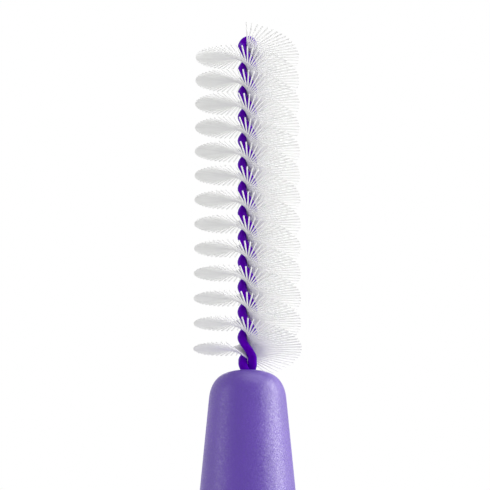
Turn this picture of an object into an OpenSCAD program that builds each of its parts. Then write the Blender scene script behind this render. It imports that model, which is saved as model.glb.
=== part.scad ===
// Interdental brush: nylon filaments held in a twisted, plastic-coated steel wire,
// with the wire's tail moulded into a tapered handle. It stands on the flat butt of
// its handle, +Z up, with the origin at the centre of that flat. Millimetres.

/* [Brush head] */
// Diameter over the tips of the filaments
brush_d = 5; // [4.4:0.1:5.3]
// Thickness of one filament
filament_d = 0.07; // [0.05:0.005:0.09]
// Height in which the wire makes one full turn
twist_pitch = 2.467; // [2.2:0.001:3]
// Angle between one filament and the next one down
filament_step = 6.0375; // [5.8:0.0025:6.4]
// Bare wire between the lowest filament and the handle
bare_len = 0.905; // [0.6:0.005:2]

/* [Wire] */
// Diameter of the coated wire, before it is folded and twisted
wire_d = 0.43; // [0.36:0.01:0.45]
// Diameter of the steel core inside the coating
core_d = 0.24; // [0.16:0.01:0.3]
// Space that the filaments hold open between the two legs of the wire
clamp_gap = 0.05; // [0.05:0.005:0.1]
// Thickness of the filaments' middles, pressed flat between the two legs
web_t = 0.04; // [0.03:0.005:0.05]
// Length of twisted wire inside the handle
tail_len = 6; // [4:0.5:10]

/* [Neck] */
// Length of the whole handle
handle_len = 60; // [52:1:75]
// Diameter at which the neck's cone would meet its top face
neck_top_d = 3.34; // [2.9:0.02:3.8]
// Width of the rounded edge round the top face
shoulder_w = 0.7; // [0.4:0.05:0.9]
// Height of the rounded edge round the top face
shoulder_h = 1.19; // [0.7:0.01:1.6]
// Height of the neck's cone, from the top face to the cap seat
neck_len = 12; // [11:0.5:14]
// Diameter of the cylinder on which a protective cap is pushed
cap_seat_d = 5.5; // [5.4:0.1:5.9]
// Height of that cylinder
cap_seat_len = 3.5; // [2.5:0.1:5]
// Diameter of the collar that stops the cap
collar_d = 6.2; // [6:0.1:7]
// Height of the collar
collar_len = 1.2; // [0.8:0.1:2]
// Bevel on the collar's upper edge
collar_bevel = 0.2; // [0.05:0.05:0.3]
// Distance by which the collar stands out from the grip below it
collar_step = 0.25; // [0.1:0.05:0.4]
// Space left round the twisted wire in its socket
socket_clearance = 0.01; // [0.005:0.005:0.05]
// Space left under the wire's end in its socket
socket_end_gap = 0.3; // [0.1:0.1:1]

/* [Grip] */
// Greatest width of the grip
grip_w = 9.2; // [8:0.1:11]
// Thickness of the grip where the finger ribs begin
grip_t = 4.8; // [4.4:0.1:5.6]
// Radius of the rounded edge round the butt
butt_r = 1.1; // [0.5:0.1:1.5]
// Number of finger ribs on each face
rib_count = 8; // [3:1:10]
// Distance from one finger rib to the next
rib_pitch = 1.7; // [1.4:0.1:2]
// Radius of a finger rib's round back
rib_r = 0.5; // [0.3:0.05:0.6]
// Height of a finger rib above the grip's face
rib_height = 0.25; // [0.1:0.01:0.3]
// Length of a finger rib across the face
rib_len = 4.6; // [3:0.1:5.2]
// Distance from the collar down to the first finger rib
rib_drop = 8.5; // [7:0.5:12]
// Width of the plain sunk panel on each face
panel_w = 4.2; // [3:0.1:4.6]
// Length of the sunk panel
panel_len = 15; // [8:0.5:16]
// Depth of the sunk panel at its middle
panel_depth = 0.3; // [0.15:0.05:0.5]
// Height of the panel's lower end above the butt
panel_z = 4.5; // [4:0.5:6]

/* [Hidden] */
NODES = ["handle", "steel_core", "wire_coating", "filament_row_01", "filament_row_02",
         "filament_row_03", "filament_row_04", "filament_row_05", "filament_row_06",
         "filament_row_07", "filament_row_08", "filament_row_09", "filament_row_10",
         "filament_row_11", "filament_row_12", "filament_row_13"];

// Filaments: full rows of half a turn each, a shorter lowest row, and the drop from one
// filament to the next
first_row_node = 3;
row_count = len(NODES) - first_row_node;
row_filaments = 30;
last_row_filaments = 25;
filament_count = (row_count - 1) * row_filaments + last_row_filaments;
filament_drop = filament_step / 360 * twist_pitch;

// Wire: two legs round one axis, joined by a fold at the tip
leg_r = (wire_d + clamp_gap) / 2;
twist_r = leg_r + wire_d / 2;
wire_sides = 8;
rings_per_turn = 10;
fold_steps = 6;

// Heights
face_z = handle_len;
low_filament_z = face_z + bare_len;
top_filament_z = low_filament_z + (filament_count - 1) * filament_drop;
tail_z = face_z - tail_len;
cap_seat_top = face_z - neck_len;
collar_top = cap_seat_top - cap_seat_len;

// Neck: the cone's slope, the place on the shoulder's ellipse where the cone leaves it,
// and the ellipse's middle
neck_slope = (cap_seat_d - neck_top_d) / 2 / neck_len;
shoulder_angle = atan(neck_slope * shoulder_h / shoulder_w);
shoulder_x = neck_top_d / 2 + neck_slope * shoulder_h * (1 - sin(shoulder_angle))
    - shoulder_w * cos(shoulder_angle);
shoulder_z = face_z - shoulder_h;
shoulder_steps = 12;

// Grip: stations down its length, as shares of the grip's length, width and thickness
grip_shares = [[0.14, 0.8, 1.08], [0.28, 0.94, 1], [0.42, 1, 0.97], [0.56, 0.94, 0.95],
               [0.7, 0.88, 0.94], [0.84, 0.92, 0.97], [0.97, 0.93, 0.98]];
grip_steps = 4;
grip_sides = 32;
grip_roundness = 2.5;
edge_steps = 5;
overrun = 0.2;

// Angle turned from the top filament down to height z; the twist is left-handed
function turned(z) = (top_filament_z - z) / twist_pitch * 360;
function unit(v) = v / norm(v);
function polar(r, a, z) = [r * cos(a), r * sin(a), z];

// Extra twist in the fold, which fades to nothing at the tip; a is 0 at a leg, 90 at the tip
function fold_twist(a) = let (t = a * PI / 180)
    -leg_r / twist_pitch * 360 * (1.5 * t + 2 * cos(a) - 2 - sin(2 * a) / 4);

// The wire's centreline as [distance from axis, angle, height]: up one leg, round the
// fold and down the other leg, whose distance is negative
function wire_line() = let (
        turns = (top_filament_z - tail_z) / twist_pitch,
        n = ceil(turns * rings_per_turn),
        leg = [for (i = [0 : n - 1]) let (z = tail_z + (top_filament_z - tail_z) * i / n)
            [leg_r, turned(z), z]],
        fold = [for (i = [0 : 2 * fold_steps]) let (a = 90 * i / fold_steps,
            to_leg = min(a, 180 - a))
            [leg_r * cos(a), fold_twist(to_leg), top_filament_z + leg_r * sin(a)]],
        back = [for (i = [n - 1 : -1 : 0]) [-leg[i][0], leg[i][1], leg[i][2]]]
    ) concat(leg, fold, back);

// Rings of points round the wire's centreline, square to it
function wire_rings(r) = let (
        line = wire_line(),
        p = [for (q = line) polar(q[0], q[1], q[2])],
        last = len(p) - 1
    ) [for (i = [0 : last]) let (
        along = unit(p[min(i + 1, last)] - p[max(i - 1, 0)]),
        side = [-sin(line[i][1]), cos(line[i][1]), 0],
        v = unit(side - (side * along) * along),
        u = cross(v, along)
    ) for (k = [0 : wire_sides - 1]) let (a = 360 * (k + 0.5) / wire_sides)
        p[i] + r * (cos(a) * u + sin(a) * v)];

// The walls of a tube of rings, as triangles; first is the number of its first point.
// Each face lists its corners clockwise as seen from outside.
function tube_walls(rings, sides, first = 0) = [for (i = [0 : rings - 2], k = [0 : sides - 1])
    let (a = first + i * sides + k, b = first + i * sides + (k + 1) % sides)
    for (t = [[a, b + sides, b], [a, a + sides, b + sides]]) t];
function ring_face(sides, first) = [for (k = [0 : sides - 1]) first + k];
function backwards(faces) = [for (f = faces) [for (i = [len(f) - 1 : -1 : 0]) f[i]]];

// A solid tube: its walls, and a face across each of its two ends
module tube(points, sides) {
    rings = len(points) / sides;
    polyhedron(points, concat(tube_walls(rings, sides), [ring_face(sides, 0)],
        backwards([ring_face(sides, (rings - 1) * sides)])));
}

// A sleeve along the wire: an outer wall, an inner one, and a flat ring at each end
module wire_sleeve(r_out, r_in) {
    rings = len(wire_line());
    count = rings * wire_sides;
    last = count - wire_sides;
    ends = [for (k = [0 : wire_sides - 1]) let (n = (k + 1) % wire_sides)
        for (t = [[k, count + n, count + k], [k, n, count + n],
            [last + k, count + last + n, last + n],
            [last + k, count + last + k, count + last + n]]) t];
    polyhedron(concat(wire_rings(r_out), wire_rings(r_in)), concat(
        tube_walls(rings, wire_sides),
        backwards(tube_walls(rings, wire_sides, count)),
        ends));
}

module steel_core() {
    color("silver") tube(wire_rings(core_d / 2), wire_sides);
}

module wire_coating() {
    color([0.27, 0, 0.6]) wire_sleeve(wire_d / 2, core_d / 2);
}

// One row of filaments. Its backing is the web of their flattened middles, a ribbon that
// turns with the wire between its two legs. Each filament is a three-sided strand that
// leaves the ribbon's two edges.
module filament_row(row) {
    n = row < row_count - 1 ? row_filaments : last_row_filaments;
    first = row * row_filaments;
    reach = brush_d / 2;
    half = web_t / 2;
    // Ribbon corners, level by level, between one filament and the next
    ribbon = [for (i = [0 : n]) let (
            z = top_filament_z - (first + i - 0.5) * filament_drop,
            a = turned(z) - 90,
            out = polar(twist_r, a, 0),
            side = polar(half, a + 90, 0))
        for (c = [out + side, out - side, -out - side, -out + side]) c + [0, 0, z]];
    // Each strand's end is a triangle like its root, at full filament size
    tips = [for (i = [0 : n - 1]) let (
            z = top_filament_z - (first + i) * filament_drop,
            a = turned(z) - 90,
            side = polar(filament_d / 2, a + 90, 0),
            rise = [0, 0, filament_d / 2])
        for (s = [1, -1]) let (end = polar(s * reach, a, z))
            for (c = [s * side + rise, -s * side + rise, -s * side - rise]) end + c];
    tip_0 = 4 * (n + 1);
    strand_faces = [for (i = [0 : n - 1], s = [0, 1]) let (
            up = 4 * i,
            down = 4 * (i + 1),
            t = tip_0 + 6 * i + 3 * s,
            // Root triangle: two corners of the upper level and one of the lower
            r = s == 0 ? [up, up + 1, down + 1] : [up + 2, up + 3, down + 3],
            rest = s == 0 ? [up, down, down + 1] : [up + 2, down + 2, down + 3])
        for (f = [[r[0], t + 1, r[1]], [r[0], t, t + 1], [r[1], t + 2, r[2]],
            [r[1], t + 1, t + 2], [r[2], t, r[0]], [r[2], t + 2, t], [t, t + 2, t + 1],
            rest]) f];
    flats = [for (i = [0 : n - 1]) let (up = 4 * i, down = 4 * (i + 1))
        for (f = [[up + 1, down + 2, up + 2], [up + 1, down + 1, down + 2],
            [up + 3, down, up], [up + 3, down + 3, down]]) f];
    ends = [[0, 1, 2, 3], [4 * n + 3, 4 * n + 2, 4 * n + 1, 4 * n]];
    color("white") polyhedron(concat(ribbon, tips), concat(strand_faces, flats, ends));
}

// Outline of the neck, cap seat and collar, right of the axis
module neck_outline() {
    foot_z = collar_top - collar_len;
    shoulder = [for (i = [0 : shoulder_steps]) let (
            a = shoulder_angle + (90 - shoulder_angle) * i / shoulder_steps)
        [shoulder_x + shoulder_w * cos(a), shoulder_z + shoulder_h * sin(a)]];
    polygon(concat([[0, foot_z], [collar_d / 2, foot_z],
        [collar_d / 2, collar_top - collar_bevel], [collar_d / 2 - collar_bevel, collar_top],
        [cap_seat_d / 2, collar_top], [cap_seat_d / 2, cap_seat_top]],
        shoulder, [[0, face_z]]));
}

// Grip stations from inside the collar down to the butt: [height, half width, half thickness]
function grip_stations() = let (
        len_z = collar_top - collar_len,
        r = collar_d / 2 - collar_step
    ) concat([[len_z + overrun, r, r]],
        [for (s = grip_shares) [len_z * (1 - s[0]), grip_w / 2 * s[1], grip_t / 2 * s[2]]]);

// A smooth curve through four values, t going from 0 at b to 1 at c
function smooth(a, b, c, d, t) = b + t / 2 * (c - a + t * (2 * a - 5 * b + 4 * c - d
    + t * (3 * (b - c) + d - a)));

// Grip sections: the stations joined smoothly, then the butt's round edge
function grip_sections() = let (
        s = grip_stations(),
        last = len(s) - 1,
        body = [for (i = [0 : last - 1], k = [0 : grip_steps - 1]) let (t = k / grip_steps)
            smooth(s[max(i - 1, 0)], s[i], s[i + 1], s[min(i + 2, last)], t)],
        low = s[last],
        edge = [for (k = [0 : edge_steps]) let (a = 90 * k / edge_steps)
            [min(butt_r, low[0]) * (1 - sin(a)), low[1] - butt_r * (1 - cos(a)),
                low[2] - butt_r * (1 - cos(a))]]
    ) concat(body, [for (q = [low]) if (low[0] > butt_r) q], edge);

// Distance from the axis to the grip's face at height z
function grip_face(z) = lookup(z, [for (q = grip_sections()) [q[0], q[2]]]);

// A rounded oval of half width w and half thickness t; its power is 2 for an ellipse
function oval(w, t, a, power) = [w * sign(cos(a)) * pow(abs(cos(a)), 2 / power),
    t * sign(sin(a)) * pow(abs(sin(a)), 2 / power)];

// The grip below the collar. Its outline is a circle there, and squares up on the way down.
module grip_body() {
    sections = grip_sections();
    top = sections[0][0];
    tube([for (i = [len(sections) - 1 : -1 : 0]) let (
            q = sections[i],
            squared = min(1, (top - q[0]) / (top * grip_shares[1][0])),
            power = 2 + (grip_roundness - 2) * squared)
        for (k = [0 : grip_sides - 1]) let (c = oval(q[1], q[2], 360 * k / grip_sides, power))
            [c[0], c[1], q[0]]], grip_sides);
}

// One finger rib, lying along X on the +Y face at height z
module finger_rib(z) {
    translate([0, grip_face(z) + rib_height - rib_r, z]) rotate([0, 90, 0])
        cylinder(r = rib_r, h = rib_len, center = true, $fn = 48);
}

// Flat panel with round ends, sunk into the +Y face
module panel_cut() {
    r = panel_w / 2;
    straight = panel_len - panel_w;
    face = grip_face(panel_z + panel_len / 2);
    translate([0, face - panel_depth, panel_z + r]) mirror([0, 1, 0]) rotate([90, 0, 0])
        linear_extrude(panel_depth + overrun) {
            translate([-r, 0]) square([panel_w, straight]);
            circle(r = r, $fn = 96);
            translate([0, straight]) circle(r = r, $fn = 96);
        }
}

module handle() {
    socket_len = tail_len + socket_end_gap;
    color([0.47, 0.38, 0.72]) difference() {
        union() {
            rotate_extrude($fn = 96) neck_outline();
            grip_body();
            for (side = [0, 180], i = [0 : rib_count - 1])
                rotate([0, 0, side]) finger_rib(collar_top - rib_drop - i * rib_pitch);
        }
        translate([0, 0, face_z - socket_len])
            cylinder(r = twist_r + socket_clearance, h = socket_len + overrun, $fn = 48);
        for (side = [0, 180]) rotate([0, 0, side]) panel_cut();
    }
}

handle();
steel_core();
wire_coating();
for (row = [0 : row_count - 1])
    filament_row(row);
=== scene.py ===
# %% [markdown]
# # An interdental brush
#
# This lesson dresses a small brush for cleaning between teeth. It has four kinds of
# piece: straight nylon filaments, a steel wire that is folded over them and twisted,
# a violet plastic skin on that wire, and a moulded lavender handle.
#
# The pieces already exist as a plain CAD model at real size. We load it first and keep
# the size of its box, because everything made here has to stay in the same place.

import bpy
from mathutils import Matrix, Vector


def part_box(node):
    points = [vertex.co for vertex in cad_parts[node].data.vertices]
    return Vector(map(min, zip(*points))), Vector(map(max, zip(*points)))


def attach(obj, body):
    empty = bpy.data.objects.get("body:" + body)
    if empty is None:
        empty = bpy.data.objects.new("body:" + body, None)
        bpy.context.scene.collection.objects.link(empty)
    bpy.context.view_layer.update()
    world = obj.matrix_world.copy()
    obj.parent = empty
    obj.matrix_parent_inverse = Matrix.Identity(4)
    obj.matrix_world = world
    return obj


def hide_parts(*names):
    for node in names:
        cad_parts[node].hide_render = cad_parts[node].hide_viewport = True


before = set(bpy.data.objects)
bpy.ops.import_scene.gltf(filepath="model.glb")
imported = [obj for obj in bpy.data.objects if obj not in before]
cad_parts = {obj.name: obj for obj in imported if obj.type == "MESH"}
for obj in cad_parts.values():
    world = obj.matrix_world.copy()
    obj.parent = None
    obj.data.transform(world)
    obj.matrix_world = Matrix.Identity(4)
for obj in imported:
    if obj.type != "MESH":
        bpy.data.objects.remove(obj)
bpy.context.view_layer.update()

# %% [markdown]
# ## Measure the plain model
#
# A filament here is about as thin as a hair, so we work in millimetres and turn them
# into metres with one factor. The heights of the handle's top face, of the highest
# filament and of the wire's lower end come from the model's own boxes, and so does the
# reach of the filaments. The other sizes are the ones the pieces were designed with.

# %% Sizes
import math

import bpy
import numpy as np
from mathutils import Vector

mm = 0.001

# The handle stands on its butt, at height zero, and ends at its top face
handle_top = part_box("handle")[1].z

# Filaments: straight, one below the other, each turned a little further round
row_names = sorted(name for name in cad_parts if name.startswith("filament_row"))
filament_thickness = 0.07 * mm
filament_turn = math.radians(6.0375)
row_length = 30
last_row_length = 25
top_row_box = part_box(row_names[0])
filament_reach = (top_row_box[1].x - top_row_box[0].x) / 2
top_filament = top_row_box[1].z - filament_thickness / 2

# Wire: folded over the filaments and twisted left-handed
twist_pitch = 2.467 * mm
wire_thickness = 0.43 * mm
core_thickness = 0.24 * mm
tail_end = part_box("steel_core")[0].z

filament_drop = filament_turn / (2 * math.pi) * twist_pitch
filament_count = row_length * (len(row_names) - 1) + last_row_length
low_filament = top_filament - (filament_count - 1) * filament_drop
print(f"{filament_count} filaments from {low_filament / mm:.2f} to {top_filament / mm:.2f} mm,",
      f"tips at {filament_reach / mm:.2f} mm, handle's top face at {handle_top / mm:.2f} mm")

# %% [markdown]
# ## The camera
#
# The photograph looks slightly up at the brush, from a good way off through a long lens,
# so that the near and the far filaments come out almost the same size. The camera stands
# a little to the right of the brush's front and aims just past its axis. A constraint
# could aim it, but two angles do the same and are plain to read.

# %% Camera
camera_distance = 114.2 * mm
camera_around = math.radians(1.14)
camera_tilt = math.radians(21.36)
aim_left = 0.12 * mm
aim_height = handle_top + 6.49 * mm
focal_share = 4.9974
nearest_seen = 1 * mm

camera = bpy.data.objects.new("camera", bpy.data.cameras.new("camera"))
bpy.context.scene.collection.objects.link(camera)
camera.data.lens = camera.data.sensor_width * focal_share
camera.data.clip_start = nearest_seen
to_right = Vector((math.cos(camera_around), math.sin(camera_around), 0))
to_back = Vector((-math.sin(camera_around), math.cos(camera_around), 0))
camera.location = (Vector((0, 0, aim_height - camera_distance * math.sin(camera_tilt)))
                   - to_right * aim_left - to_back * camera_distance * math.cos(camera_tilt))
camera.rotation_euler = (math.pi / 2 + camera_tilt, 0, camera_around)
bpy.context.scene.camera = camera
bpy.context.scene.view_settings.view_transform = "Standard"
print(f"lens {camera.data.lens:.1f} mm, camera {camera.location.z / mm:.1f} mm above the floor")

# %% [markdown]
# ## Turning points and faces into a piece
#
# Wire, filaments and handle all follow a formula: a twist, a straight line, an oval.
# So every piece below is worked out as an array of points and a list of faces, and not
# by stacking modifiers. The first helper makes the mesh, smooths it, gives it its
# finish, and hides the plain piece it stands for. The brush has no joints, so all of
# it moves as one body. The second helper joins rings of points into a wall.

# %% Helper: a piece from points and faces
def make_piece(name, points, faces, finish, stands_for):
    mesh = bpy.data.meshes.new(name)
    mesh.from_pydata([tuple(p) for p in points], [], faces)
    mesh.validate()
    mesh.shade_smooth()
    mesh.materials.append(finish)
    piece = bpy.data.objects.new(name, mesh)
    bpy.context.scene.collection.objects.link(piece)
    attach(piece, "root")
    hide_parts(*stands_for)
    print(f"{name}: {len(mesh.vertices)} points, {len(mesh.polygons)} faces")
    return piece


# %% Helper: walls between rings of points
def wall_faces(rings, sides, first=0, inside_out=False):
    """Four-sided faces between rings of points, each ring anticlockwise about the way up."""
    faces = []
    for ring in range(rings - 1):
        for side in range(sides):
            a = first + ring * sides + side
            b = first + ring * sides + (side + 1) % sides
            face = (a, b, b + sides, a + sides)
            faces.append(face[::-1] if inside_out else face)
    return faces


# %% [markdown]
# ## Finishes
#
# The brush has four finishes, all made from nodes and with no pictures. A small helper
# starts each of them with Blender's principled shader and sets what is the same all
# over straight on its sockets. What changes from place to place is then wired in. A
# noise in object coordinates keeps its grain at real size on every piece.

# %% Helper: start a finish
def new_finish(name, **sockets):
    finish = bpy.data.materials.new(name)
    finish.use_nodes = True
    shader = finish.node_tree.nodes["Principled BSDF"]
    for socket, value in sockets.items():
        shader.inputs[socket.replace("_", " ")].default_value = value
    return finish, finish.node_tree.nodes, finish.node_tree.links, shader


# %% Helpers: noise, and what it can drive
noise_low = 0.3
noise_high = 0.7


def grain(nodes, links, size, detail=2.0):
    """A noise whose blotches are about that many metres across."""
    place = nodes.new("ShaderNodeTexCoord")
    noise = nodes.new("ShaderNodeTexNoise")
    noise.inputs["Scale"].default_value = 1 / size
    noise.inputs["Detail"].default_value = detail
    links.new(place.outputs["Object"], noise.inputs["Vector"])
    return noise.outputs["Fac"]


def tint_range(nodes, links, factor, dark, light, low=0.35, high=0.65):
    """A colour that goes from dark to light as the factor goes from low to high."""
    ramp = nodes.new("ShaderNodeValToRGB")
    ramp.color_ramp.elements[0].position = low
    ramp.color_ramp.elements[0].color = (*dark, 1)
    ramp.color_ramp.elements[1].position = high
    ramp.color_ramp.elements[1].color = (*light, 1)
    links.new(factor, ramp.inputs["Fac"])
    return ramp.outputs["Color"]


def number_range(nodes, links, factor, low, high):
    """A number that goes from low to high as the factor goes over a noise's usual range."""
    span = nodes.new("ShaderNodeMapRange")
    span.inputs["From Min"].default_value = noise_low
    span.inputs["From Max"].default_value = noise_high
    span.inputs["To Min"].default_value = low
    span.inputs["To Max"].default_value = high
    links.new(factor, span.inputs["Value"])
    return span.outputs["Result"]


def add_bump(nodes, links, shader, height, depth, normals=None):
    """Bumps that are that many metres deep, on the normals given."""
    bump = nodes.new("ShaderNodeBump")
    bump.inputs["Distance"].default_value = depth
    links.new(height, bump.inputs["Height"])
    if normals:
        links.new(normals, bump.inputs["Normal"])
    links.new(bump.outputs["Normal"], shader.inputs["Normal"])


# %% [markdown]
# ## Lavender handle plastic
#
# The handle is moulded polypropylene with a little pearl in it, from a mould whose skin
# was lightly blasted. Pearl is made of tiny flakes that each lie a few degrees out of
# the surface. Where a lamp is nearly mirrored, on the right of the neck, some flakes
# catch it and others miss it, and the highlight breaks up into specks. Bumps could do
# that too, but they would roughen the shaded side as well, so the flakes lean the
# surface's directions and the bumps stay shallow. A slow change of tint keeps the broad
# faces from looking painted.

# %% Helper: pearl flakes
def flake_normals(nodes, links, size, tilt):
    """Surface directions that are tilted at random, flake by flake."""
    place = nodes.new("ShaderNodeTexCoord")
    flakes = nodes.new("ShaderNodeTexVoronoi")
    flakes.inputs["Scale"].default_value = 1 / size
    links.new(place.outputs["Object"], flakes.inputs["Vector"])
    centred = nodes.new("ShaderNodeVectorMath")
    centred.operation = "SUBTRACT"
    centred.inputs[1].default_value = (0.5, 0.5, 0.5)
    links.new(flakes.outputs["Color"], centred.inputs[0])
    lean = nodes.new("ShaderNodeVectorMath")
    lean.operation = "MULTIPLY_ADD"
    lean.inputs[1].default_value = (tilt, tilt, tilt)
    links.new(centred.outputs["Vector"], lean.inputs[0])
    links.new(nodes.new("ShaderNodeNewGeometry").outputs["Normal"], lean.inputs[2])
    unit = nodes.new("ShaderNodeVectorMath")
    unit.operation = "NORMALIZE"
    links.new(lean.outputs["Vector"], unit.inputs[0])
    return unit.outputs["Vector"]


# %% Finish: handle plastic
deep_lavender = (0.068, 0.008, 0.338)
pale_lavender = (0.082, 0.012, 0.378)
cloud_size = 2.5 * mm
blast_size = 0.07 * mm
blast_depth = 0.003 * mm
flake_size = 0.055 * mm
flake_tilt = 0.12


def handle_plastic():
    finish, nodes, links, shader = new_finish("handle_plastic", IOR=1.49, Specular_IOR_Level=1.0)
    cloud = grain(nodes, links, cloud_size)
    links.new(tint_range(nodes, links, cloud, deep_lavender, pale_lavender),
              shader.inputs["Base Color"])
    blast = grain(nodes, links, blast_size, detail=1.0)
    links.new(number_range(nodes, links, blast, low=0.3, high=0.5),
              shader.inputs["Roughness"])
    flakes = flake_normals(nodes, links, flake_size, flake_tilt)
    add_bump(nodes, links, shader, blast, blast_depth, flakes)
    return finish


lavender_plastic = handle_plastic()
print("finish:", lavender_plastic.name)

# %% [markdown]
# ## Violet wire skin
#
# The wire's skin is a thin tube of deep violet plastic, drawn on over the steel. It has
# little gloss, and what gloss there is looks violet too, so we tint the shader's
# highlight. Drawing leaves faint blotches of tint and of polish along the wire.

# %% Finish: wire skin
deep_violet = (0.1, 0.0, 0.44)
pale_violet = (0.125, 0.0, 0.53)
violet_gloss = (0.3, 0.0, 1.0, 1.0)
blotch_size = 0.25 * mm
skin_grain = 0.06 * mm
skin_grain_depth = 0.002 * mm


def violet_skin():
    finish, nodes, links, shader = new_finish("violet_skin", Specular_IOR_Level=0.05,
                                              Specular_Tint=violet_gloss)
    blotch = grain(nodes, links, blotch_size)
    links.new(tint_range(nodes, links, blotch, deep_violet, pale_violet),
              shader.inputs["Base Color"])
    links.new(number_range(nodes, links, blotch, low=0.36, high=0.48),
              shader.inputs["Roughness"])
    add_bump(nodes, links, shader, grain(nodes, links, skin_grain), skin_grain_depth)
    return finish


skin_finish = violet_skin()
print("finish:", skin_finish.name)

# %% [markdown]
# ## Drawn steel
#
# The core is stainless steel wire. It lies inside the skin and shows only at the wire's
# two cut ends, deep in the handle, so plain metal with a fine change of grey and of
# polish is enough.

# %% Finish: steel core
dark_steel = (0.5, 0.5, 0.51)
light_steel = (0.66, 0.66, 0.67)
scratch_size = 0.05 * mm


def drawn_steel():
    finish, nodes, links, shader = new_finish("drawn_steel", Metallic=1.0)
    scratch = grain(nodes, links, scratch_size)
    links.new(tint_range(nodes, links, scratch, dark_steel, light_steel),
              shader.inputs["Base Color"])
    links.new(number_range(nodes, links, scratch, low=0.22, high=0.36),
              shader.inputs["Roughness"])
    return finish


steel_finish = drawn_steel()
print("finish:", steel_finish.name)

# %% [markdown]
# ## Milky nylon
#
# The filaments are milky nylon, and no two are quite the same white. One material for
# each would be wasteful. Instead the mesh carries a number for each filament, and the
# finish reads it. Real nylon lets a little light through as well. A very pale, soft
# white stands for that here, which is quicker to render and looks close.

# %% Finish: filaments
milky_white = (0.9, 0.902, 0.892)
clear_white = (0.95, 0.952, 0.942)
nylon_grain = 0.04 * mm
nylon_grain_depth = 0.001 * mm


def milky_nylon():
    finish, nodes, links, shader = new_finish("milky_nylon", Roughness=0.45, Specular_IOR_Level=0.2)
    tone = nodes.new("ShaderNodeAttribute")
    tone.attribute_name = "tone"
    links.new(tint_range(nodes, links, tone.outputs["Fac"], milky_white, clear_white,
                         low=0.0, high=1.0), shader.inputs["Base Color"])
    add_bump(nodes, links, shader, grain(nodes, links, nylon_grain), nylon_grain_depth)
    return finish


nylon_finish = milky_nylon()
print("finish:", nylon_finish.name)

# %% [markdown]
# ## The wire's path
#
# One wire runs up from the handle, over the top filament in a tight fold, and down
# again. Both legs wind round the brush's axis, and the filaments hold them slightly
# apart. Below the lowest filament nothing parts them, so there they close up and touch.
# In the fold the twist fades out, so that the loop stands flat at its tip. The legs lag a
# little behind the filaments, as wire that springs back after twisting does.
#
# A curve object with a bevel would need a handle at every quarter turn. A formula for
# the middle line is shorter, and the filaments can use the same one.

# %% Twist and spread of the two legs
# Gap between the legs, filled by the middles of the filaments
clamp_gap = 0.08 * mm
open_radius = (wire_thickness + clamp_gap) / 2

# Below the filaments the legs touch, with a hair to spare so that they don't cut in
touching_share = 1.005
closed_radius = wire_thickness / 2 * touching_share
closing_length = 0.12 * mm


def ease(t):
    """Goes smoothly from 0 to 1 as t does."""
    t = np.clip(t, 0, 1)
    return t * t * (3 - 2 * t)


def turned(z):
    """Angle from the top filament down to height z. The twist is left-handed."""
    return (top_filament - z) / twist_pitch * 2 * math.pi


def leg_radius(z):
    """Distance from the axis to a leg's middle."""
    return open_radius + (closed_radius - open_radius) * ease((low_filament - z) / closing_length)


print(f"legs {2 * open_radius / mm:.3f} mm apart at the filaments and",
      f"{2 * closed_radius / mm:.3f} mm below them")

# %% Path of the wire
rings_per_turn = 44
fold_rings = 14
fold_height_share = 1.15
fold_height = fold_height_share * open_radius
spring_back = math.radians(8)


def fold_twist(a):
    """Extra twist in the fold, where a is 0 at a leg and a quarter turn at the tip.

    The twist's rate falls off as (1 - sin a) squared, and this is the sum of it.
    """
    return -open_radius / twist_pitch * 2 * math.pi * (
        1.5 * a + 2 * math.cos(a) - 2 - math.sin(2 * a) / 4)


def wire_path():
    """Points on the wire's middle line, with the twist's angle at each."""
    steps = math.ceil((top_filament - tail_end) / twist_pitch * rings_per_turn)
    leg = []
    for i in range(steps):
        z = tail_end + (top_filament - tail_end) * i / steps
        leg.append((leg_radius(z), turned(z) - spring_back, z))
    fold = []
    for i in range(2 * fold_rings + 1):
        a = math.pi / 2 * i / fold_rings
        fold.append((open_radius * math.cos(a), fold_twist(min(a, math.pi - a)) - spring_back,
                     top_filament + fold_height * math.sin(a)))
    back = [(-r, angle, z) for r, angle, z in reversed(leg)]
    line = np.array(leg + fold + back)
    points = np.stack([line[:, 0] * np.cos(line[:, 1]),
                       line[:, 0] * np.sin(line[:, 1]), line[:, 2]], axis=1)
    return points, line[:, 1]


wire_points, wire_angles = wire_path()
wire_length = np.linalg.norm(np.diff(wire_points, axis=0), axis=1).sum()
print(f"the wire is {wire_length / mm:.1f} mm long before it is folded")

# %% [markdown]
# ## Wire skin and steel core
#
# Both are tubes swept along that path. A ring of points is set square to the path at
# every step, and neighbouring rings are joined. Twisting presses the soft skin a little
# flat, so its rings are ovals. The skin is hollow, with the core in it, so its two cut
# ends show a ring of plastic round the steel.

# %% Helper: rings of points along a path
def rings_along(points, angles, radius, sides, flat=1.0):
    """Rings of points round a path, square to it and flattened by a share."""
    along = np.gradient(points, axis=0)
    along /= np.linalg.norm(along, axis=1)[:, None]
    side = np.stack([-np.sin(angles), np.cos(angles), np.zeros(len(angles))], axis=1)
    side -= (side * along).sum(1)[:, None] * along
    side /= np.linalg.norm(side, axis=1)[:, None]
    up = np.cross(side, along)
    a = 2 * math.pi * np.arange(sides) / sides
    ring = (np.cos(a)[None, :, None] * up[:, None, :]
            + flat * np.sin(a)[None, :, None] * side[:, None, :])
    return (points[:, None, :] + radius * ring).reshape(-1, 3)


# %% Steel core
wire_sides = 20


def make_core():
    points = rings_along(wire_points, wire_angles, core_thickness / 2, wire_sides)
    rings = len(wire_points)
    faces = wall_faces(rings, wire_sides)
    faces.append(tuple(range(wire_sides))[::-1])
    faces.append(tuple(range((rings - 1) * wire_sides, rings * wire_sides)))
    return make_piece("wire_core", points, faces, steel_finish, ["steel_core"])


make_core()

# %% Wire skin
pressed_share = 0.85
bore_share = 1.01


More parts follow.
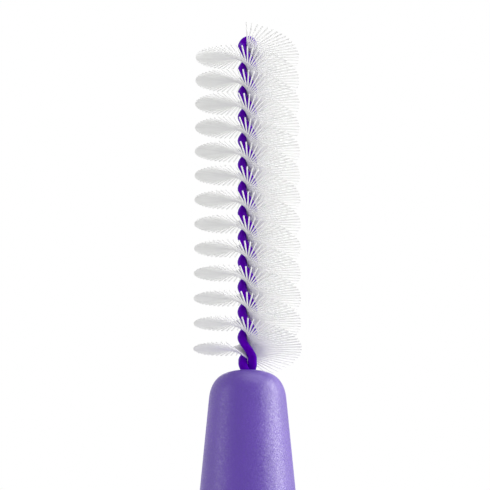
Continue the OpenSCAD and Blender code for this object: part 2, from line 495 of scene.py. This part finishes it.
def make_skin():
    outer = rings_along(wire_points, wire_angles, wire_thickness / 2, wire_sides, pressed_share)
    inner = rings_along(wire_points, wire_angles, core_thickness / 2 * bore_share, wire_sides)
    rings = len(wire_points)
    inner_first = len(outer)
    faces = wall_faces(rings, wire_sides)
    faces += wall_faces(rings, wire_sides, inner_first, inside_out=True)
    last = (rings - 1) * wire_sides
    for k in range(wire_sides):
        n = (k + 1) % wire_sides
        faces.append((k, inner_first + k, inner_first + n, n))
        faces.append((last + k, last + n, inner_first + last + n, inner_first + last + k))
    return make_piece("wire_skin", np.concatenate([outer, inner]), faces, skin_finish,
                      ["wire_coating"])


make_skin()

# %% [markdown]
# ## Nylon filaments
#
# Each filament is one straight strand from tip to tip, square to the axis. Its ends are
# rounded, as tips that touch gums have to be. Its middle is pressed flat, where the two
# legs of the wire squeeze it against its neighbours. Particle hair has no such tips and
# middles. So we describe one filament as a list of stations along its length, and place
# a copy of its points at every height, with one mesh for each row of the plain model.

# %% One filament
filament_sides = 10
pinch_reach = 0.25 * mm
round_reach = 0.6 * mm
pinched_width_share = 1.1
pinched_height_share = 0.56
tip_rings = 4


def filament_stations():
    """Half of a filament's stations: distance from the axis, then two shares of its size."""
    stations = [(0.0, pinched_width_share, pinched_height_share),
                (pinch_reach, pinched_width_share, pinched_height_share),
                (round_reach, 1.0, 1.0), (filament_reach / 2, 1.0, 1.0)]
    dome = filament_thickness / 2
    for i in range(tip_rings):
        a = math.pi / 2 * i / tip_rings
        stations.append((filament_reach - dome + dome * math.sin(a), math.cos(a), math.cos(a)))
    return stations


def one_filament():
    """Points of a filament that lies along X, and its faces."""
    half = filament_stations()
    line = [(-s, w, h) for s, w, h in reversed(half[1:])] + half
    a = 2 * math.pi * (np.arange(filament_sides) + 0.5) / filament_sides
    radius = filament_thickness / 2
    points = [(s, w * radius * math.cos(t), h * radius * math.sin(t))
              for s, w, h in line for t in a]
    left_tip = len(points)
    right_tip = left_tip + 1
    tips = [(-filament_reach, 0, 0), (filament_reach, 0, 0)]
    faces = wall_faces(len(line), filament_sides)
    last = (len(line) - 1) * filament_sides
    for k in range(filament_sides):
        n = (k + 1) % filament_sides
        faces.append((left_tip, n, k))
        faces.append((right_tip, last + k, last + n))
    return np.array(points + tips), faces


filament_shape, filament_faces = one_filament()
print(f"one filament: {len(filament_shape)} points, {len(filament_faces)} faces")

# %% Rows of filaments
def make_row(row, name, chance):
    count = row_length if row < len(row_names) - 1 else last_row_length
    points, faces, tones = [], [], []
    for i in range(count):
        z = top_filament - (row * row_length + i) * filament_drop
        a = turned(z) - math.pi / 2
        turn = np.array([[math.cos(a), -math.sin(a), 0], [math.sin(a), math.cos(a), 0],
                         [0, 0, 1]])
        base = len(filament_shape) * i
        points.append(filament_shape @ turn.T + (0, 0, z))
        faces += [tuple(base + v for v in face) for face in filament_faces]
        tones += [chance.random()] * len(filament_shape)
    piece = make_piece(f"nylon_row_{row + 1:02d}", np.concatenate(points), faces,
                       nylon_finish, [name])
    tone = piece.data.attributes.new("tone", "FLOAT", "POINT")
    tone.data.foreach_set("value", np.array(tones, np.float32))
    return piece


tone_seed = 11
tone_chance = np.random.default_rng(tone_seed)
for row, name in enumerate(row_names):
    make_row(row, name, tone_chance)

# %% [markdown]
# ## The handle's outline
#
# The handle is one moulding with three stretches. The neck is round: a slim cone with a
# rounded shoulder, then a cylinder for a cap to push on, then a collar that stops the
# cap. Below the collar the grip widens into a rounded oval. We list the neck's corners,
# round each of them with an arc, and sink a small dish where the wire goes in, as is
# left where plastic shrinks round it. Turning the outline round the axis is then the
# same step as for a lathe.

# %% Sizes of the neck and collar
neck_top_radius = 1.67 * mm
shoulder_width = 0.7 * mm
shoulder_height = 1.19 * mm
seat_radius = 2.75 * mm
seat_top = handle_top - 12 * mm
collar_radius = 3.1 * mm
collar_top = seat_top - 3.5 * mm
collar_length = 1.2 * mm
collar_bevel = 0.2 * mm
collar_step = 0.25 * mm
grip_top = collar_top - collar_length
grip_top_radius = collar_radius - collar_step
print(f"collar from {grip_top / mm:.2f} to {collar_top / mm:.2f} mm,",
      f"cap seat to {seat_top / mm:.2f} mm")

# %% Helper: round a corner
def arc_corner(before, corner, after, radius, steps=5):
    """Points that round a corner between two straight runs."""
    b, c, a = (np.array(p, float) for p in (before, corner, after))
    u = (b - c) / np.linalg.norm(b - c)
    v = (a - c) / np.linalg.norm(a - c)
    half = math.acos(np.clip(u @ v, -1, 1)) / 2
    reach = radius / math.tan(half)
    middle = c + (u + v) / np.linalg.norm(u + v) * radius / math.sin(half)
    start = c + u * reach - middle
    end = c + v * reach - middle
    sweep = math.pi - 2 * half
    arc = []
    for i in range(steps + 1):
        t = i / steps
        w = (math.sin((1 - t) * sweep) * start + math.sin(t * sweep) * end) / math.sin(sweep)
        arc.append(tuple(middle + w))
    return arc


# %% Outline of the neck
shoulder_steps = 14
edge_rounding = 0.08 * mm
bevel_rounding = 0.1 * mm
seat_foot_rounding = 0.06 * mm
seat_top_rounding = 2.0 * mm
collar_foot_length = 0.2 * mm
dish_rim = 0.1 * mm
dish_depth = 0.1 * mm

# Places down the dish's wall: shares of its rim and of its depth
dish_wall = [(1.0, 0.0), (0.4, 0.2), (0.0, 0.7)]


def shoulder_arc():
    """The rounded shoulder, from where it leaves the cone to the top face."""
    slope = (seat_radius - neck_top_radius) / (handle_top - seat_top)
    lift = math.atan(slope * shoulder_height / shoulder_width)
    middle = (neck_top_radius + slope * shoulder_height * (1 - math.sin(lift))
              - shoulder_width * math.cos(lift))
    arc = []
    for i in range(shoulder_steps + 1):
        a = lift + (math.pi / 2 - lift) * i / shoulder_steps
        arc.append((middle + shoulder_width * math.cos(a),
                    handle_top - shoulder_height * (1 - math.sin(a))))
    return arc


def neck_profile():
    """Radius and height up the round stretch, from under the collar to the wire."""
    shoulder = shoulder_arc()
    foot = (grip_top_radius, grip_top - collar_foot_length)
    corners = [((grip_top_radius, grip_top), edge_rounding),
               ((collar_radius, grip_top), edge_rounding),
               ((collar_radius, collar_top - collar_bevel), bevel_rounding),
               ((collar_radius - collar_bevel, collar_top), edge_rounding),
               ((seat_radius, collar_top), seat_foot_rounding),
               ((seat_radius, seat_top), seat_top_rounding)]
    places = [foot] + [place for place, rounding in corners] + [shoulder[0]]
    profile = [foot]
    for i, (corner, rounding) in enumerate(corners):
        profile += arc_corner(places[i], corner, places[i + 2], rounding)
    dish = [(wire_thickness + dish_rim * out, handle_top - dish_depth * down)
            for out, down in dish_wall]
    dish.append((wire_thickness / 2, handle_top - dish_depth))
    return profile + shoulder + dish


# %% Rows of the neck
row_spacing = 0.12 * mm
neck_row_spacing = 2 * row_spacing


def fill_gaps(profile, spacing):
    """Adds points on the straight runs of a profile, so that rows are evenly close."""
    filled = [profile[0]]
    for (r0, z0), (r1, z1) in zip(profile, profile[1:]):
        steps = max(1, math.ceil(math.hypot(r1 - r0, z1 - z0) / spacing))
        for i in range(1, steps + 1):
            filled.append((r0 + (r1 - r0) * i / steps, z0 + (z1 - z0) * i / steps))
    return filled


neck_rows = fill_gaps(neck_profile(), neck_row_spacing)
print(f"{len(neck_rows)} rows of points up the neck")

# %% [markdown]
# ## The grip's ovals
#
# The grip is widest a little above its middle, where the fingers close on it, and draws
# in again before the butt. We list its size at a few heights only. A curve through four
# neighbouring sizes then gives every height between two of them, with no kink where one
# stretch meets the next. The butt ends in a rounded edge and a flat, on which the brush
# stands.

# %% Sizes of the grip
grip_width = 9.2 * mm
grip_thickness = 4.8 * mm
butt_rounding = 1.1 * mm
butt_steps = 10
butt_flat_shares = (0.8, 0.6, 0.4, 0.2, 0.04)

# Shares of the way down the grip, and of the grip's width and thickness there
grip_shares = [(0.14, 0.8, 1.08), (0.28, 0.94, 1.0), (0.42, 1.0, 0.97), (0.56, 0.94, 0.95),
               (0.7, 0.88, 0.94), (0.84, 0.92, 0.97), (0.97, 0.93, 0.98)]
print(f"the grip is {grip_width / mm:.1f} mm wide and {grip_top / mm:.1f} mm long")

# %% Rows of the grip
def smooth(a, b, c, d, t):
    """A curve from b to c that leaves and arrives in the direction of its neighbours."""
    return b + t / 2 * (c - a + t * (2 * a - 5 * b + 4 * c - d + t * (3 * (b - c) + d - a)))


def grip_rows():
    """Height, half width and half thickness, from the flat of the butt to the collar."""
    stations = [(grip_top, grip_top_radius, grip_top_radius)]
    for down, wide, thick in grip_shares:
        stations.append((grip_top * (1 - down), grip_width / 2 * wide, grip_thickness / 2 * thick))
    rows = []
    last = len(stations) - 1
    for i in range(last):
        four = [np.array(stations[j]) for j in (max(i - 1, 0), i, i + 1, min(i + 2, last))]
        steps = math.ceil((stations[i][0] - stations[i + 1][0]) / row_spacing)
        rows += [tuple(smooth(*four, k / steps)) for k in range(steps)]
    low = stations[last]
    for k in range(butt_steps + 1):
        a = math.pi / 2 * k / butt_steps
        inset = butt_rounding * (1 - math.cos(a))
        rows.append((butt_rounding * (1 - math.sin(a)), low[1] - inset, low[2] - inset))
    flat = rows[-1]
    rows += [(0.0, flat[1] * share, flat[2] * share) for share in butt_flat_shares]
    return rows[::-1]


grip = grip_rows()
above_flat = np.array(grip[len(butt_flat_shares):])


def grip_face(z):
    """Distance from the axis to the grip's broad face at height z."""
    return np.interp(z, above_flat[:, 0], above_flat[:, 2])


print(f"{len(grip)} rows of points down the grip")

# %% [markdown]
# ## Ribs and panel
#
# Eight round-backed ribs cross each broad face where the thumb and finger press, and a
# plain sunk panel lies below them. A bump in the finish would leave the outline smooth,
# so we raise and sink the points themselves. Then both show from the side too. The ribs
# fade out at their ends and have a soft foot, as ribs cut into a mould with a round
# tool do.

# %% Finger ribs
rib_count = 8
rib_pitch = 1.7 * mm
rib_radius = 0.5 * mm
rib_height = 0.25 * mm
rib_foot = 0.1 * mm
rib_half_length = 2.3 * mm
rib_end_fade = 0.55 * mm
first_rib = collar_top - 8.5 * mm


def rib_rise(x, z):
    """How far the ribs stand above the face at a place on it."""
    nearest = np.clip(np.round((first_rib - z) / rib_pitch), 0, rib_count - 1)
    off = np.abs(z - (first_rib - nearest * rib_pitch))
    back = np.sqrt(np.maximum(rib_radius ** 2 - off ** 2, 0)) - (rib_radius - rib_height)
    foot = (back + rib_foot) ** 2 / (4 * rib_foot)
    rise = np.where(back > rib_foot, back, np.where(back > -rib_foot, foot, 0))
    return rise * ease((rib_half_length - np.abs(x)) / rib_end_fade)


print(f"ribs from {(first_rib - (rib_count - 1) * rib_pitch) / mm:.1f} to {first_rib / mm:.1f} mm")

# %% Sunk panel
panel_half_width = 2.1 * mm
panel_low = 4.5 * mm
panel_length = 15 * mm
panel_depth = 0.3 * mm
panel_edge = 0.3 * mm
panel_middle = panel_low + panel_length / 2
panel_floor = grip_face(panel_middle) - panel_depth


def panel_share(x, z):
    """1 inside the panel, 0 outside it, and between the two on its edge."""
    reach = panel_length / 2 - panel_half_width
    along = np.maximum(np.abs(z - panel_middle) - reach, 0)
    outside = np.hypot(x, along) - panel_half_width
    return ease(0.5 - outside / panel_edge)


def dress_face(x, y, z):
    """The face's distance from the axis, with the ribs raised and the panel sunk."""
    side = np.sign(y)
    depth = np.abs(y) + rib_rise(x, z)
    share = panel_share(x, z) * (np.abs(y) > panel_floor)
    return side * (depth + (np.minimum(depth, panel_floor) - depth) * share)


print(f"the panel's floor lies {panel_floor / mm:.2f} mm from the axis")

# %% [markdown]
# ## The whole handle
#
# Grip and neck become one closed skin, as they are one moulding. The same number of
# points goes round every row, spaced evenly round the grip's oval. Going up the grip,
# the oval turns into the neck's circle. The mould closes along the handle's two narrow
# sides and leaves a hairline there, so a few more points lie beside it.

# %% Places round the handle
points_around = 184
oval_power = 2.5
mould_line_height = 0.03 * mm
mould_line_width = 0.07 * mm
mould_line_low = 0.2 * mm
mould_line_places = (-0.5, -0.25, 0.25, 0.5)
measuring_steps = 20000
place_digits = 9


def oval(angles, power):
    """A unit oval: a circle at power 2, and squarer above it."""
    c, s = np.cos(angles), np.sin(angles)
    return (np.sign(c) * np.abs(c) ** (2 / power), np.sign(s) * np.abs(s) ** (2 / power))


def even_angles():
    """Angles whose points lie evenly round the grip's oval, closer at the mould line."""
    fine = np.linspace(0, 2 * math.pi, measuring_steps + 1)
    x, y = oval(fine, oval_power)
    x, y = x * grip_width / 2, y * grip_thickness / 2
    run = np.concatenate([[0], np.cumsum(np.hypot(np.diff(x), np.diff(y)))])
    places = list(run[-1] * np.arange(points_around) / points_around)
    for middle in (0, run[-1] / 2, run[-1]):
        places += [middle + mould_line_width * share for share in mould_line_places]
    whole_turn = run[-1] - 10 ** -place_digits
    places = np.unique(np.round([p for p in places if 0 <= p < whole_turn], place_digits))
    return np.interp(places, run, fine)


handle_angles = even_angles()
print(f"{len(handle_angles)} points round each row of the handle")

# %% Make the handle
def make_handle():
    sides = len(handle_angles)
    rows = [(z, w, t) for z, w, t in grip if z < neck_rows[0][1]]
    rows += [(z, r, r) for r, z in neck_rows]
    squaring = grip_top * grip_shares[1][0]
    points = []
    for z, half_width, half_thickness in rows:
        squared = min(max((grip_top - z) / squaring, 0), 1)
        x, y = oval(handle_angles, 2 + (oval_power - 2) * squared)
        x, y = x * half_width, y * half_thickness
        if 0 < z < first_rib + rib_pitch:
            y = dress_face(x, y, z)
        hairline = mould_line_height * np.maximum(1 - (y / mould_line_width) ** 2, 0) ** 2
        if mould_line_low < z < grip_top:
            x = x + np.sign(x) * hairline
        points.append(np.stack([x, y, np.full(sides, z)], axis=1))
    faces = wall_faces(len(rows), sides)
    faces.append(tuple(range(sides))[::-1])
    faces.append(tuple(range((len(rows) - 1) * sides, len(rows) * sides)))
    return make_piece("handle_moulding", np.concatenate(points), faces, lavender_plastic,
                      ["handle"])


make_handle()

# %% [markdown]
# ## Floor
#
# The photograph has a plain white ground. The floor is a sheet of pale paper that keeps
# the brush's shadow. Lit paper comes out a little grey, and its far edge would show as
# a line behind the brush. So it fades into pure white some way off, but only for what
# the camera sees or a glossy surface mirrors. For the light on the brush it stays paper.

# %% Helper: what the camera and the mirrors see
def seen_or_mirrored(nodes, links):
    """1 for what the camera sees, straight or in gloss and glass, and 0 for plain light."""
    path = nodes.new("ShaderNodeLightPath")
    shows = path.outputs["Is Camera Ray"]
    for kind in ("Is Glossy Ray", "Is Transmission Ray"):
        either = nodes.new("ShaderNodeMath")
        either.operation = "MAXIMUM"
        links.new(shows, either.inputs[0])
        links.new(path.outputs[kind], either.inputs[1])
        shows = either.outputs["Value"]
    return shows


# %% Finish: floor
paper_grey = (0.82, 0.82, 0.82)
paper_white = (0.84, 0.84, 0.84)
paper_cloud = 60 * mm
fade_start = 50 * mm
fade_end = 220 * mm


def distance_fade(nodes, links):
    """0 near the brush and 1 far from it, with a smooth change between."""
    place = nodes.new("ShaderNodeTexCoord")
    away = nodes.new("ShaderNodeVectorMath")
    away.operation = "LENGTH"
    links.new(place.outputs["Object"], away.inputs[0])
    fade = nodes.new("ShaderNodeMapRange")
    fade.interpolation_type = "SMOOTHSTEP"
    fade.inputs["From Min"].default_value = fade_start
    fade.inputs["From Max"].default_value = fade_end
    links.new(away.outputs["Value"], fade.inputs["Value"])
    return fade.outputs["Result"]


def pale_floor():
    finish, nodes, links, shader = new_finish("pale_floor", Roughness=0.9)
    cloud = grain(nodes, links, paper_cloud)
    links.new(tint_range(nodes, links, cloud, paper_grey, paper_white),
              shader.inputs["Base Color"])
    seen = nodes.new("ShaderNodeMath")
    seen.operation = "MULTIPLY"
    links.new(distance_fade(nodes, links), seen.inputs[0])
    links.new(seen_or_mirrored(nodes, links), seen.inputs[1])
    backdrop = nodes.new("ShaderNodeEmission")
    mix = nodes.new("ShaderNodeMixShader")
    links.new(seen.outputs["Value"], mix.inputs["Fac"])
    links.new(shader.outputs["BSDF"], mix.inputs[1])
    links.new(backdrop.outputs["Emission"], mix.inputs[2])
    links.new(mix.outputs["Shader"], nodes["Material Output"].inputs["Surface"])
    return finish


# %% Make the floor
floor_reach = 3.0

floor_mesh = bpy.data.meshes.new("floor")
floor_mesh.from_pydata([(-floor_reach, -floor_reach, 0), (floor_reach, -floor_reach, 0),
                        (floor_reach, floor_reach, 0), (-floor_reach, floor_reach, 0)],
                       [], [(0, 1, 2, 3)])
floor_mesh.materials.append(pale_floor())
floor = bpy.data.objects.new("floor", floor_mesh)
bpy.context.scene.collection.objects.link(floor)
print("floor:", floor_reach * 2, "m across")

# %% [markdown]
# ## White backdrop
#
# The world shows white to the camera and to reflections, but lights the brush gently,
# so that white nylon doesn't burn out. One background can't do both, so the light path
# picks between two of them.

# %% World
ambient_level = 0.2
pure_white = (1, 1, 1, 1)


def studio_world():
    world = bpy.data.worlds.new("studio")
    world.use_nodes = True
    nodes, links = world.node_tree.nodes, world.node_tree.links
    seen = nodes["Background"]
    seen.inputs["Color"].default_value = pure_white
    seen.inputs["Strength"].default_value = 1.0
    glow = nodes.new("ShaderNodeBackground")
    glow.inputs["Color"].default_value = pure_white
    glow.inputs["Strength"].default_value = ambient_level
    pick = nodes.new("ShaderNodeMixShader")
    links.new(seen_or_mirrored(nodes, links), pick.inputs["Fac"])
    links.new(glow.outputs["Background"], pick.inputs[1])
    links.new(seen.outputs["Background"], pick.inputs[2])
    links.new(pick.outputs["Shader"], nodes["World Output"].inputs["Surface"])
    bpy.context.scene.world = world
    return world


print("world:", studio_world().name)

# %% [markdown]
# ## Lamps
#
# Six soft square lamps face the neck. Three on the right, from near the front to behind,
# make the bright side of the neck and its speckled highlight. A low one on the left
# lifts that side but leaves the dark band between them. Two from above light the
# rounded shoulder and the leaves of nylon. Small lamps would give hard highlights and
# shadows that the photograph doesn't have.

# %% Lamps
lamp_distance = 0.45


def soft_lamp(name, around, up, size, watts):
    """A square lamp that faces the neck, placed by its angles from the brush's front."""
    lamp = bpy.data.objects.new(name, bpy.data.lights.new(name, "AREA"))
    lamp.data.shape = "SQUARE"
    lamp.data.size = size
    lamp.data.energy = watts
    around, up = math.radians(around), math.radians(up)
    outward = Vector((math.sin(around) * math.cos(up), -math.cos(around) * math.cos(up),
                      math.sin(up)))
    lamp.location = Vector((0, 0, handle_top)) + outward * lamp_distance
    lamp.rotation_euler = outward.to_track_quat("Z", "Y").to_euler()
    bpy.context.scene.collection.objects.link(lamp)
    return lamp


# Angle round to the right, angle up, size in metres, power in watts
soft_lamp("near_right_lamp", 60, 28, 0.22, 0.4)
soft_lamp("right_lamp", 88, 28, 0.22, 0.86)
soft_lamp("back_lamp", 112, 25, 0.4, 0.6)
soft_lamp("left_lamp", -70, 7, 0.22, 0.45)
soft_lamp("top_lamp", 35, 68, 0.35, 0.7)
soft_lamp("far_top_lamp", 180, 60, 0.3, 0.9)
